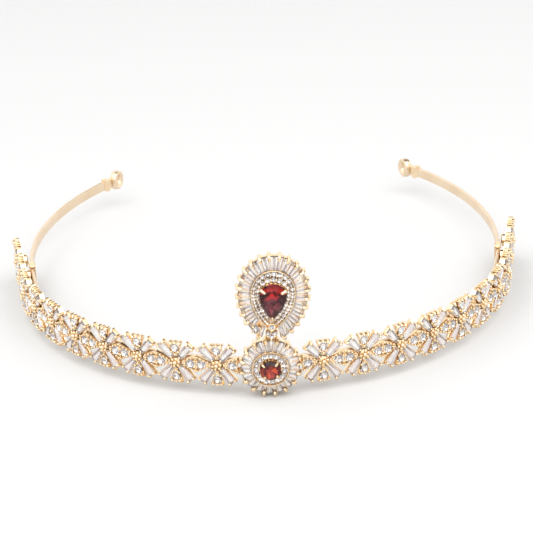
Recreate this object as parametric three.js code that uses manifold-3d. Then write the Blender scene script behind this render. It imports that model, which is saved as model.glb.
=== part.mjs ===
// Bridal tiara headband, in millimetres. +Z is up and the jewelled front faces -Y.
// A flat spring band bends round the head. Ten star motifs a side are soldered to its front,
// with a round medallion between them and a pear medallion standing on the round one.
import * as THREE from 'three';
import { mergeVertices } from 'three/addons/utils/BufferGeometryUtils.js';
import Module from 'manifold-3d';

const wasm = await Module();
wasm.setup();

// ---- driving dimensions -------------------------------------------------------------------
const DEG = Math.PI / 180;

// Spring band: a front arc, a short straight at each bracket and a wider arc for each arm.
const BAND_RADIUS = 67.5; // to the middle of the band's thickness
const BAND_THICK = 1.0;
const BAND_TALL = 3.0;
const FRONT_HALF_ANGLE = 80 * DEG;
const STRAIGHT = 5.0;
const ARM_RADIUS = 85.0;
const ARM_ANGLE = 49.5 * DEG;
const FLEX_START = 20.0; // distance from the straight's end to the flex joint
const FLEX_GAP = 0.3;
const FACET = 4.0; // about the length of a facet along the band

// Star motifs. "Out" is the distance in front of the band's middle.
const MOTIFS_PER_SIDE = 10;
const FACE_OUT = 4.5;
const FACE_RADIUS = BAND_RADIUS + FACE_OUT;
const FIRST_MOTIF = 14.3; // along the face, from the front middle
const PITCH = 11.38;
const BOSS_BACK = 0.8; // of the bosses that meet the band
const BOSS_RADIUS = 1.9;
const STAR_BACK = 1.7;
const STAR_FRONT = 2.8;
const STONE_BACK = 2.9;
const STONE_FRONT = 4.3;
const STONE_SEAT = { radius: 2.6, thick: 0.6 }; // joins a motif's stones behind the middle bead
const ARM_LEAN = 40 * DEG; // of the four long stones, from upright
const ARM_TIP = 6.5;
const ARM_HALF = 1.2;
const ARM_CLAWS = { reach: 0.45, width: 1.5 };
const CUP_TIP = 5.6;
const CUP_HALF = 1.5;
const CUP_CLAWS = { reach: 0.45, width: 2.2 };
const SEAM = 5.28; // half the width of a motif, up to its neighbour
const SEAM_HALF = 2.1;
const NOTCH = 2.6; // depth of the notches between the arms and the cups, from the middle
const OVERLAP = 0.2; // how far fused shapes run into one another
const LONG_STONE = { from: 2.0, to: 6.2, inner: 0.65, outer: 1.0, front: STONE_FRONT };
const CUP_STONE = { from: 2.2, to: 5.2, inner: 0.45, outer: 0.95, front: STONE_FRONT - 0.2 };
const BEVEL = 0.3; // inset of a stone's table

// Medallions. Heights are measured from the middle of the row of motifs.
const MEDAL_BACK = 2.2;
const MEDAL_PLATE = 3.6;
const MEDAL_CLAWS = 5.8;
const MEDAL_STONES = MEDAL_PLATE + 0.1; // where the medallions' stones start
const ROUND_RADIUS = 8.5; // over the claws
const ROUND_CLAWS = 16;
const ROUND_CLAW_WIDE = 0.7;
const ROUND_PLATE = 7.5;
const ROUND_RIM = 4.8; // middle of the thin wall between the two rows of stones
const ROUND_RIM_FRONT = 6.2;
const ROUND_HOLE = 3.3;
const ROUND_BOSS = 4.6;
const RIM_HALF = 0.15; // half the thickness of a rim's wall
const STONE_GAP = 0.15; // between a rim and the stones beside it
const ROUND_GARNET = 2.75;
const PEAR_WIDE = 19.7; // over the claws
const PEAR_TALL = 26.3;
const PEAR_MIDDLE = 19.1;
const PEAR_CLAWS_PER_SIDE = 12;
const FIRST_PEAR_CLAW = 1.4; // along the outline, from the top
const PEAR_CLAW_PITCH = 2.62;
const PEAR_CLAW_WIDE = 0.8;
const PEAR_RIM_FRONT = 5.8;
const PEAR_STONES_FRONT = 5.2;
const PEAR_HALO_FRONT = 5.6;
const TIP_STONE = { x: 0, z: 12.0, radius: 0.85, front: 6.4 };
const SIDE_STONE = { x: -4.1, z: 10.95, radius: 1.15, front: 5.4 };
const FOOT_BEADS = [{ x: -0.85, z: 9.9, radius: 0.65 }, { x: 0.85, z: 9.9, radius: 0.65 }];
const ROUND_ROOM = 8.75; // the pear's pieces stop this far from the round medallion's middle
const BEYOND = 9; // farther out than any piece, for cutting tools
const MEDAL_LEAN = 4 * DEG; // both medallions lean to the right of the row's upright

// Ends of the band.
const EYELET_RADIUS = 3.0;
const EYELET_HOLE = 1.0;
const EYELET_THICK = 2.2;
const CRIMP_LONG = 3.0;

// ---- materials ----------------------------------------------------------------------------
const look = (color, roughness, metalness) => new THREE.MeshStandardMaterial({ color, roughness, metalness });
const bandGold = look(0xe8c39a, 0.35, 1.0);
const settingGold = look(0xe6b45c, 0.18, 1.0);
const clearStone = look(0xf2f1f4, 0.05, 0.0);
const redStone = look(0x7d1620, 0.06, 0.0);

// ---- solids -------------------------------------------------------------------------------
function toSolid(geometry) {
  const bare = geometry.clone();
  bare.deleteAttribute('normal');
  bare.deleteAttribute('uv');
  const merged = mergeVertices(bare, 1e-5);
  const mesh = new wasm.Mesh({
    numProp: 3,
    vertProperties: new Float32Array(merged.attributes.position.array),
    triVerts: new Uint32Array(merged.index.array),
  });
  return new wasm.Manifold(mesh);
}

function toGeometry(solid) {
  const mesh = solid.getMesh();
  const geometry = new THREE.BufferGeometry();
  geometry.setAttribute('position', new THREE.BufferAttribute(mesh.vertProperties, 3));
  geometry.setIndex(new THREE.BufferAttribute(mesh.triVerts, 1));
  geometry.computeVertexNormals();
  return geometry;
}

function join(geometries) {
  const solids = geometries.map(toSolid);
  return toGeometry(solids.reduce((sum, next) => sum.add(next)));
}

function cut(geometry, tools) {
  const solids = tools.map(toSolid);
  return toGeometry(solids.reduce((left, next) => left.subtract(next), toSolid(geometry)));
}

// A closed solid through outlines of equal length, each at its own distance out.
function loft(sections) {
  const count = sections[0].outline.length;
  const vertices = [];
  for (const { outline, out } of sections) {
    for (const point of outline) vertices.push(point.x, -out, point.y);
  }
  const index = [];
  for (let level = 0; level + 1 < sections.length; level += 1) {
    for (let i = 0; i < count; i += 1) {
      const a = level * count + i;
      const b = level * count + ((i + 1) % count);
      index.push(a, b, b + count, a, b + count, a + count);
    }
  }
  const top = (sections.length - 1) * count;
  for (const [a, b, c] of THREE.ShapeUtils.triangulateShape(sections[0].outline, [])) {
    index.push(a, c, b);
  }
  for (const [a, b, c] of THREE.ShapeUtils.triangulateShape(sections.at(-1).outline, [])) {
    index.push(top + a, top + b, top + c);
  }
  const geometry = new THREE.BufferGeometry();
  geometry.setAttribute('position', new THREE.Float32BufferAttribute(vertices, 3));
  geometry.setIndex(index);
  geometry.computeVertexNormals();
  return geometry;
}

// A flat outline, with or without a hole, made thick between two distances out.
function plate(outline, back, front, hole = null) {
  const shape = new THREE.Shape(outline);
  if (hole) shape.holes.push(new THREE.Path(hole));
  const geometry = new THREE.ExtrudeGeometry(shape, { depth: front - back, bevelEnabled: false });
  geometry.rotateX(Math.PI / 2);
  geometry.translate(0, -back, 0);
  return geometry;
}

// A bar lying across a ray from the motif's middle, such as a claw.
function bar({ ray, from, to, width, back, front }) {
  const geometry = new THREE.BoxGeometry(width, front - back, to - from);
  geometry.translate(0, -(back + front) / 2, (from + to) / 2);
  geometry.rotateY(ray);
  return geometry;
}

// A ring or a stone turned about the axis that points out of its face.
function turned(profile, segments) {
  const points = profile.map(([radius, out]) => new THREE.Vector2(radius, out));
  const geometry = new THREE.LatheGeometry(points, segments);
  geometry.rotateX(Math.PI);
  geometry.rotateY(Math.PI / segments);
  return geometry;
}

// ---- outlines (x to the right, y up) ------------------------------------------------------
const at = (ray, radius, side = 0) => new THREE.Vector2(
  radius * Math.sin(ray) + side * Math.cos(ray),
  radius * Math.cos(ray) - side * Math.sin(ray),
);

const reversed = (points) => [...points].reverse();

function polygon(sides, radius, centre = { x: 0, z: 0 }) {
  const points = [];
  for (let i = 0; i < sides; i += 1) {
    const turn = ((i + 0.5) / sides) * 2 * Math.PI;
    points.push(new THREE.Vector2(centre.x + radius * Math.cos(turn), centre.z + radius * Math.sin(turn)));
  }
  return points;
}

// Drop outline with its point down; point 0 gives an ellipse and 1 a sharp tip.
function drop({ wide, tall, middle, point, count }) {
  const spread = (turn) => Math.sin(turn) * Math.sin(turn / 2) ** point;
  let widest = 0;
  for (let turn = 0; turn < Math.PI; turn += 0.01) widest = Math.max(widest, spread(turn));
  const points = [];
  for (let i = 0; i < count; i += 1) {
    const turn = ((i + 0.5) / count) * 2 * Math.PI;
    const x = (Math.sign(Math.PI - turn) * Math.abs(spread(turn)) / widest) * (wide / 2);
    points.push(new THREE.Vector2(x, middle - (Math.cos(turn) * tall) / 2));
  }
  return points;
}

const arm = { tip: ARM_TIP, half: ARM_HALF, claws: ARM_CLAWS, stone: LONG_STONE };
const cup = { tip: CUP_TIP, half: CUP_HALF, claws: CUP_CLAWS, stone: CUP_STONE };
const sideCup = { tip: SEAM, half: SEAM_HALF, claws: null, stone: CUP_STONE };
const starRays = [
  { ray: 0, ...cup },
  { ray: ARM_LEAN, ...arm },
  { ray: 90 * DEG, ...sideCup },
  { ray: 180 * DEG - ARM_LEAN, ...arm },
  { ray: 180 * DEG, ...cup },
  { ray: 180 * DEG + ARM_LEAN, ...arm },
  { ray: 270 * DEG, ...sideCup },
  { ray: 360 * DEG - ARM_LEAN, ...arm },
];

function starOutline() {
  const points = [];
  starRays.forEach(({ ray, tip, half }, i) => {
    const nextRay = i + 1 < starRays.length ? starRays[i + 1].ray : 360 * DEG;
    points.push(at(ray, tip, -half), at(ray, tip, half), at((ray + nextRay) / 2, NOTCH));
  });
  return reversed(points);
}

// ---- star motif ---------------------------------------------------------------------------
function motifSetting() {
  const boss = plate(polygon(10, BOSS_RADIUS), BOSS_BACK, STAR_BACK + OVERLAP);
  const pieces = [plate(starOutline(), STAR_BACK, STAR_FRONT), boss];
  for (const { ray, tip, claws } of starRays) {
    if (!claws) continue;
    pieces.push(bar({
      ray,
      from: tip - OVERLAP,
      to: tip + claws.reach,
      width: claws.width,
      back: STAR_BACK + OVERLAP,
      front: FACE_OUT,
    }));
  }
  return join(pieces);
}

// A stone as a tapered block with a smaller table, its wide end outward.
function wedgeStone({ ray, from, to, inner, outer, front }) {
  const outline = (inset) => reversed([
    at(ray, from + inset, -(inner - inset)),
    at(ray, to - inset, -(outer - inset)),
    at(ray, to - inset, outer - inset),
    at(ray, from + inset, inner - inset),
  ]);
  return loft([{ outline: outline(0), out: STONE_BACK }, { outline: outline(BEVEL), out: front }]);
}

// The eight stones of a motif with the seat that joins them behind the middle bead.
function motifStones() {
  const seat = plate(polygon(8, STONE_SEAT.radius), STONE_BACK, STONE_BACK + STONE_SEAT.thick);
  return join([seat, ...starRays.map(({ ray, stone }) => wedgeStone({ ray, ...stone }))]);
}

// ---- medallions ---------------------------------------------------------------------------
// Turned profiles are lists of [radius, out].
function roundSetting() {
  const profile = [
    [ROUND_HOLE, BOSS_BACK],
    [ROUND_BOSS, BOSS_BACK],
    [ROUND_BOSS, MEDAL_BACK],
    [ROUND_PLATE, MEDAL_BACK],
    [ROUND_PLATE, MEDAL_PLATE],
    [ROUND_RIM + RIM_HALF, MEDAL_PLATE],
    [ROUND_RIM + RIM_HALF, ROUND_RIM_FRONT],
    [ROUND_RIM - RIM_HALF, ROUND_RIM_FRONT],
    [ROUND_RIM - RIM_HALF, MEDAL_PLATE],
    [ROUND_HOLE, MEDAL_PLATE],
    [ROUND_HOLE, BOSS_BACK],
  ];
  const pieces = [turned(profile, 24)];
  for (let i = 0; i < ROUND_CLAWS; i += 1) {
    pieces.push(bar({
      ray: ((i + 0.5) / ROUND_CLAWS) * 360 * DEG,
      from: ROUND_PLATE - OVERLAP,
      to: ROUND_RADIUS,
      width: ROUND_CLAW_WIDE,
      back: MEDAL_BACK,
      front: MEDAL_CLAWS,
    }));
  }
  return join(pieces);
}

// The baguettes slope down from the rim to the claws.
function roundBaguettes() {
  const inner = ROUND_RIM + RIM_HALF + STONE_GAP;
  const outer = ROUND_PLATE - OVERLAP - 0.1;
  return turned([
    [inner, MEDAL_STONES],
    [outer, MEDAL_STONES],
    [outer, 4.9],
    [outer - BEVEL, 5.2],
    [inner, 6.0],
    [inner, MEDAL_STONES],
  ], 24);
}

function roundHalo() {
  const inner = ROUND_GARNET + 0.3;
  const outer = ROUND_RIM - RIM_HALF - STONE_GAP;
  return turned([
    [inner, MEDAL_STONES],
    [outer, MEDAL_STONES],
    [outer, 6.1],
    [inner, 6.3],
    [inner, MEDAL_STONES],
  ], 16);
}

const roundGarnet = () => turned([
  [0, 4.0],
  [ROUND_GARNET, 6.5],
  [ROUND_GARNET, 6.7],
  [ROUND_GARNET - 1.1, 7.7],
  [0, 7.7],
], 14);

const rimDrop = (grow) => ({
  wide: 11.3 + 2 * grow,
  tall: 16.9 + 2.2 * grow,
  middle: 19.3,
  point: 0.6,
  count: 28,
});
const outerDrop = (shrink) => ({
  wide: PEAR_WIDE - 2 * shrink,
  tall: PEAR_TALL - 2 * shrink,
  middle: PEAR_MIDDLE,
  point: 0.4,
  count: 36,
});
const garnetDrop = (grow) => ({
  wide: 7.0 + 2 * grow,
  tall: 10.2 + 2.4 * grow,
  middle: 19.3,
  point: 0.9,
  count: 24,
});

const pegAt = ({ x, z, radius }, back, front, gap = 0) => (
  plate(polygon(10, radius + gap, { x, z }), back, front)
);

const roundRoom = () => plate(polygon(32, ROUND_ROOM), 0, BEYOND);

// Points and directions of the pear's claws, evenly along its outline from the top down.
function pearClawPlaces() {
  const outline = drop({ ...outerDrop(0.4), count: 720 });
  const half = outline.slice(0, 360).reverse();
  const places = [];
  let walked = half[0].x;
  for (let i = 1; i < half.length && places.length < PEAR_CLAWS_PER_SIDE; i += 1) {
    walked += half[i].distanceTo(half[i - 1]);
    if (walked < FIRST_PEAR_CLAW + places.length * PEAR_CLAW_PITCH) continue;
    const along = half[i].clone().sub(half[i - 1]);
    places.push({ point: half[i], turn: Math.atan2(along.y, along.x) });
  }
  return places;
}

function pearSetting() {
  const plateRing = plate(drop(outerDrop(0.7)), MEDAL_BACK, MEDAL_PLATE, drop(garnetDrop(0.6)));
  const rim = plate(
    drop(rimDrop(RIM_HALF)),
    MEDAL_PLATE - OVERLAP,
    PEAR_RIM_FRONT,
    drop(rimDrop(-RIM_HALF)),
  );
  const beads = FOOT_BEADS.map((bead) => pegAt(bead, MEDAL_PLATE - OVERLAP, PEAR_STONES_FRONT));
  const pieces = [plateRing, rim, ...beads];
  const clawDeep = MEDAL_CLAWS - MEDAL_BACK;
  for (const { point, turn } of pearClawPlaces()) {
    for (const side of [-1, 1]) {
      const claw = new THREE.BoxGeometry(PEAR_CLAW_WIDE, clawDeep, PEAR_CLAW_WIDE);
      claw.rotateY(-side * turn);
      claw.translate(side * point.x, -(MEDAL_BACK + clawDeep / 2), point.y);
      pieces.push(claw);
    }
  }
  const seats = [TIP_STONE, SIDE_STONE].map((stone) => pegAt(stone, MEDAL_PLATE, BEYOND, 0.1));
  return cut(join(pieces), [...seats, roundRoom()]);
}

// A box that clears the outline's tip below a height.
function belowTip(halfWide, top) {
  const box = new THREE.BoxGeometry(2 * halfWide, 2 * BEYOND, top);
  box.translate(0, 0, top / 2);
  return box;
}

function pearBaguettes() {
  const ring = plate(
    drop(outerDrop(1.1)),
    MEDAL_STONES,
    PEAR_STONES_FRONT,
    drop(rimDrop(RIM_HALF + STONE_GAP)),
  );
  return cut(ring, [pegAt(SIDE_STONE, 0, BEYOND, 0.2), roundRoom(), belowTip(1.7, 11.5)]);
}

function pearHalo() {
  const ring = plate(
    drop(rimDrop(-RIM_HALF - STONE_GAP)),
    MEDAL_STONES,
    PEAR_HALO_FRONT,
    drop(garnetDrop(0.2)),
  );
  return cut(ring, [pegAt(TIP_STONE, 0, BEYOND, 0.15), belowTip(3, TIP_STONE.z)]);
}

const pearGarnet = () => loft([
  { outline: drop(garnetDrop(-2.2)), out: 3.4 },
  { outline: drop(garnetDrop(0)), out: 5.8 },
  { outline: drop(garnetDrop(0)), out: 6.1 },
  { outline: drop(garnetDrop(-1.3)), out: 7.5 },
]);

const loneStone = (stone) => pegAt(stone, MEDAL_STONES, stone.front);

// The strap that carries the pear: up behind both plates, with a bead between their edges.
function medallionLink() {
  const low = 4.9;
  const high = 12.0;
  const back = 1.1;
  const front = MEDAL_BACK - 0.1;
  const strap = new THREE.BoxGeometry(2.4, front - back, high - low);
  strap.translate(0, -(front + back) / 2, (low + high) / 2);
  const bead = new THREE.BoxGeometry(1.2, 3.6, 0.5);
  bead.translate(0, -3.3, 7.85);
  return join([strap, bead]);
}

// ---- band ---------------------------------------------------------------------------------
const FRONT_LONG = BAND_RADIUS * FRONT_HALF_ANGLE;
const ARM_LONG = ARM_RADIUS * ARM_ANGLE;
const FLEX_AT = FRONT_LONG + STRAIGHT + FLEX_START;
const BAND_END = FRONT_LONG + STRAIGHT + ARM_LONG;
const SADDLE_AT = FRONT_LONG + STRAIGHT + 3;

// Place on the right half of the band's middle line, a distance along it from the front.
function bandPlace(along) {
  const onFront = Math.min(along, FRONT_LONG) / BAND_RADIUS;
  const onStraight = Math.min(Math.max(along - FRONT_LONG, 0), STRAIGHT);
  const onArm = Math.max(along - FRONT_LONG - STRAIGHT, 0) / ARM_RADIUS;
  const turn = onFront + onArm;
  const x = BAND_RADIUS * Math.sin(onFront) + onStraight * Math.cos(onFront)
    + ARM_RADIUS * (Math.sin(turn) - Math.sin(onFront));
  const y = BAND_RADIUS * (1 - Math.cos(onFront)) + onStraight * Math.sin(onFront)
    + ARM_RADIUS * (Math.cos(onFront) - Math.cos(turn));
  return { x, y, turn };
}

function bandStrip(from, to) {
  const steps = 2 * Math.floor((to - from) / FACET / 2) + 1; // odd, for a flat facet at the middle
  const outer = [];
  const inner = [];
  for (let i = 0; i <= steps; i += 1) {
    const along = from + ((to - from) * i) / steps;
    const place = bandPlace(Math.abs(along));
    const side = Math.sign(along) || 1;
    for (const [row, offset] of [[outer, BAND_THICK / 2], [inner, -BAND_THICK / 2]]) {
      const x = place.x + offset * Math.sin(place.turn);
      const y = place.y - offset * Math.cos(place.turn);
      row.push(new THREE.Vector2(side * x, y));
    }
  }
  const shape = new THREE.Shape([...outer, ...inner.reverse()]);
  const geometry = new THREE.ExtrudeGeometry(shape, { depth: BAND_TALL, bevelEnabled: false });
  geometry.translate(0, 0, -BAND_TALL / 2);
  return geometry;
}

// Saddle: a clip round the back of the band that reaches forward to the motif in front.
function saddle() {
  const block = new THREE.BoxGeometry(3.6, 1.7, 4.6);
  block.translate(0, 0.2, 0);
  const room = new THREE.BoxGeometry(4, 1.6, BAND_TALL + 0.3);
  room.translate(0, -0.15, 0);
  return cut(block, [room]);
}

// ---- band ends ----------------------------------------------------------------------------
const NECK_START = 0.25;
const CRIMP_BACK = 2.0;
const EYELET_AT = 4.4;
const EYELET_TURN = 15 * DEG;

function crimp(side) {
  const sleeve = new THREE.BoxGeometry(CRIMP_LONG, 2.1, 4.2);
  sleeve.translate(side * (CRIMP_LONG / 2 - CRIMP_BACK), 0, 0);
  const room = new THREE.BoxGeometry(CRIMP_LONG + 1, BAND_THICK + 0.3, BAND_TALL + 0.3);
  room.translate(side * (CRIMP_LONG / 2 - CRIMP_BACK), 0, 0);
  return cut(sleeve, [room]);
}

function eyelet(side) {
  const disc = new THREE.CylinderGeometry(EYELET_RADIUS, EYELET_RADIUS, EYELET_THICK, 24);
  disc.rotateZ(-side * EYELET_TURN);
  disc.translate(side * EYELET_AT, 0, 0);
  const neckLong = EYELET_AT - 2 - NECK_START;
  const neck = new THREE.BoxGeometry(neckLong, BAND_THICK, BAND_TALL);
  neck.translate(side * (NECK_START + neckLong / 2), 0, 0);
  const hole = new THREE.CylinderGeometry(EYELET_HOLE, EYELET_HOLE, EYELET_THICK + 2, 20);
  hole.rotateZ(-side * EYELET_TURN);
  hole.translate(side * EYELET_AT, 0, 0);
  return cut(join([disc, neck]), [hole]);
}

// ---- assembly -----------------------------------------------------------------------------
const crown = new THREE.Group();
crown.name = 'crown';

const medallions = new THREE.Group();
medallions.rotation.y = MEDAL_LEAN;
crown.add(medallions);

function addTo(group, name, geometry, material) {
  const mesh = new THREE.Mesh(geometry, material);
  mesh.name = name;
  group.add(mesh);
  return mesh;
}

function add(name, geometry, material, place, side) {
  const mesh = addTo(crown, name, geometry, material);
  mesh.position.set(side * place.x, place.y, 0);
  mesh.rotation.z = side * place.turn;
}

// Motifs follow the front arc at the height of their faces and run straight on past its end.
function motifPlace(number) {
  const along = FIRST_MOTIF + (number - 1) * PITCH;
  const arcLong = FACE_RADIUS * FRONT_HALF_ANGLE;
  const turn = Math.min(along, arcLong) / FACE_RADIUS;
  const past = Math.max(along - arcLong, 0);
  return {
    x: BAND_RADIUS * Math.sin(turn) + past * Math.cos(turn),
    y: BAND_RADIUS * (1 - Math.cos(turn)) + past * Math.sin(turn),
    turn,
  };
}

const settingShape = motifSetting();
const stonesShape = motifStones();
const saddleShape = saddle();

addTo(crown, 'front_band', bandStrip(-(FLEX_AT - FLEX_GAP / 2), FLEX_AT - FLEX_GAP / 2), bandGold);

for (const [word, side] of [['left', -1], ['right', 1]]) {
  const reach = [FLEX_AT + FLEX_GAP / 2, BAND_END].map((along) => side * along);
  addTo(crown, `${word}_band_arm`, bandStrip(Math.min(...reach), Math.max(...reach)), bandGold);
  const end = bandPlace(BAND_END);
  add(`${word}_crimp`, crimp(side), settingGold, end, side);
  add(`${word}_eyelet`, eyelet(side), bandGold, end, side);
  add(`${word}_saddle`, saddleShape, settingGold, bandPlace(SADDLE_AT), side);
  for (let number = 1; number <= MOTIFS_PER_SIDE; number += 1) {
    add(`${word}_motif_${number}_setting`, settingShape, settingGold, motifPlace(number), side);
    add(`${word}_motif_${number}_stones`, stonesShape, clearStone, motifPlace(number), side);
  }
}

addTo(medallions, 'round_setting', roundSetting(), settingGold);
addTo(medallions, 'round_baguettes', roundBaguettes(), clearStone);
addTo(medallions, 'round_halo', roundHalo(), clearStone);
addTo(medallions, 'round_garnet', roundGarnet(), redStone);
addTo(medallions, 'pear_setting', pearSetting(), settingGold);
addTo(medallions, 'pear_baguettes', pearBaguettes(), clearStone);
addTo(medallions, 'pear_halo', pearHalo(), clearStone);
addTo(medallions, 'pear_garnet', pearGarnet(), redStone);
addTo(medallions, 'pear_tip_stone', loneStone(TIP_STONE), clearStone);
addTo(medallions, 'pear_side_stone', loneStone(SIDE_STONE), clearStone);
addTo(medallions, 'medallion_link', medallionLink(), settingGold);

// The origin is the middle of the footprint, at the height of the lowest claws.
crown.updateMatrixWorld(true);
const size = new THREE.Box3().setFromObject(crown, true);
crown.position.set(-(size.min.x + size.max.x) / 2, -(size.min.y + size.max.y) / 2, -size.min.z);

export default crown;
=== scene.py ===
"""Looks of a bridal tiara headband.

A spring band carries twenty star motifs, a round medallion and a pear medallion.
"""
import math

import bmesh
import bpy
import numpy as np
from mathutils import Matrix, Vector


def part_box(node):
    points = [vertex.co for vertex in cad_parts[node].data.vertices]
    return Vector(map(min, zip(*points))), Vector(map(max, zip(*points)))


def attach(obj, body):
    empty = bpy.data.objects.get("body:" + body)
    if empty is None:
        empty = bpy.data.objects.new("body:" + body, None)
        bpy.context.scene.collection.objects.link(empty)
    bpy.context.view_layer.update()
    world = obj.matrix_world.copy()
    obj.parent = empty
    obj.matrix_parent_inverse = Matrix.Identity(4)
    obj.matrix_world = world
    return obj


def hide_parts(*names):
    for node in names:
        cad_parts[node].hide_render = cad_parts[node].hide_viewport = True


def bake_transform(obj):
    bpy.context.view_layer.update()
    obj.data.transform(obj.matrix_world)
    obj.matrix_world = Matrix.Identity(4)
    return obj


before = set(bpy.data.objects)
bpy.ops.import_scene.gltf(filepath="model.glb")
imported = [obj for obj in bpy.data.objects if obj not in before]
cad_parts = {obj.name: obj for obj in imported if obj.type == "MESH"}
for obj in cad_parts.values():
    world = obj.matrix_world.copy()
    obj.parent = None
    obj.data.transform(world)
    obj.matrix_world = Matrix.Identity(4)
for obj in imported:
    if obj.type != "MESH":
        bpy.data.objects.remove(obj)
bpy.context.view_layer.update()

# ---- dimensions, in millimetres ------------------------------------------------------------
MM = 0.001
DEG = math.pi / 180

# The band's middle line: a front arc, then a short straight and a wider arc for each arm.
BAND_RADIUS = 67.5
BAND_THICK = 1.0
FRONT_HALF_ANGLE = 80 * DEG
STRAIGHT = 5.0
ARM_RADIUS = 85.0
ARM_ANGLE = 49.5 * DEG
FRONT_LONG = BAND_RADIUS * FRONT_HALF_ANGLE
ARM_START = FRONT_LONG + STRAIGHT
BAND_END = ARM_START + ARM_RADIUS * ARM_ANGLE

# Places along it, from the middle of the front: where the front piece ends, the saddle, and
# the stretch over which an arm bends.
FRONT_END = FRONT_LONG + STRAIGHT / 2
SADDLE_AT = ARM_START + 3
BEND_FROM = ARM_START + 8
BEND_TO = ARM_START + 44

# The band's height at the arms and behind the motifs, and the length it widens over.
BAND_TALL = 3.0
FRONT_TALL = 1.9
TAPER_LONG = 14.0

# Its rounded corners, the spacing of the rings that make it, and how far the end rings shrink.
BAND_CORNER = 0.32
CORNER_STEPS = 4
RING_SPACING = 1.2
END_SHRINK = 0.92

# The eyelet's middle beyond the band's end, and its kink outward.
EYELET_AT = 4.4
EYELET_TURN = 15 * DEG

band_low, band_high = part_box("front_band")
FRONT_Y = band_low.y / MM + BAND_THICK / 2
MIDDLE_Z = (band_low.z + band_high.z) / 2 / MM

# Star motifs, evenly spaced on the arc that their faces make. "Out" is the distance in front
# of the band's middle.
MOTIFS_PER_SIDE = 10
FACE_RADIUS = BAND_RADIUS + 4.5
FIRST_MOTIF = 14.3
PITCH = 11.38
BOSS_BACK = 0.8
TRAY_BACK = 2.2
ARM_LEAN = 40 * DEG
LEANS = [ARM_LEAN, 180 * DEG - ARM_LEAN, 180 * DEG + ARM_LEAN, 360 * DEG - ARM_LEAN]

# Outlines in a motif: start and end along a ray, and half the width at each. An arm holds a
# baguette, the cups above and below hold a small round each, and so do the wider side cups.
ARM_TRAY = (1.3, 6.55, 0.82, 1.34)
ARM_INSIDE = (1.6, 6.36, 0.62, 1.16)
ARM_SEAT = (2.0, 5.8, 0.4, 0.8)
ARM_STONE = (1.5, 6.55, 0.7, 1.28)
CUP_TRAY = (1.6, 5.7, 0.35, 1.85)
CUP_INSIDE = (2.3, 5.35, 0.15, 1.45)
SIDE_TRAY = (1.6, 5.62, 0.4, 2.3)
SIDE_INSIDE = (2.4, 5.35, 0.1, 1.85)

# How far out their edges stand, the start of the claws, and the beads of a motif.
ARM_TOP = 3.3
SEAT_TOP = 2.1
CUP_TOP = 3.6
SIDE_TOP = 3.5
CLAW_BACK = 2.4
EDGE_BEADS = 4
CLUSTER_BEADS = 6

# Medallions, with heights from the middle of the row of motifs: the back and the front of
# their plates, how far they lean together, and half the width of their inner rims.
MEDAL_BACK = 2.2
MEDAL_PLATE = 3.6
MEDAL_LEAN = 4 * DEG
HALF_RIM = 0.15

# The round one: radii of its lines, and the room that the pear one leaves round it.
ROUND_RED = 2.75
ROUND_HALO = 3.79
ROUND_RIM = 4.8
ROUND_FAN = (4.97, 7.75)
ROUND_CLAW_LINE = 8.02
ROUND_ROOM = 8.9
ROUND_CLAWS = 16
HALO_STONES = 15

# The pear one: wide, tall, height of the middle and how pointed, for each of its lines.
PEAR_MIDDLE = 19.3
PEAR_RED = (7.0, 10.2, PEAR_MIDDLE, 0.9)
PEAR_RIM = (11.3, 16.9, PEAR_MIDDLE, 0.6)
PEAR_CLAW_LINE = (18.9, 25.5, 19.1, 0.39)
PEAR_CLAWS_PER_SIDE = 12
FIRST_PEAR_CLAW = 1.4
PEAR_CLAW_PITCH = 2.62
TIP_STONE = Vector((0, 0, 12.0))
SIDE_STONE = Vector((-4.1, 0, 10.95))
TIP_TRIO = ((-0.85, 9.75), (0.85, 9.75), (0, 8.9))

# The link between them: the height of its bead.
LINK_AT = 7.85

# Proportions of a brilliant: its table, the thin girdle and the rows of facets, and the
# crown and the pavilion of a small round as shares of its radius.
TABLE = 0.56
GIRDLE_THICK = 0.06
KITE_WIDE = (TABLE + 1.02) / 2
KITE_TALL = 0.55
DEEP_WIDE = 0.42
DEEP_DOWN = 0.72
CROWN = 0.38
PAVILION = 0.86

# Numbers of the materials in a mesh of stones.
GLASS, FOIL, PAVE = 0, 1, 2

# Edges sharper than this stay sharp; wires have this many sides.
CREASE = 35 * DEG
WIRE_SIDES = 8


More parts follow.
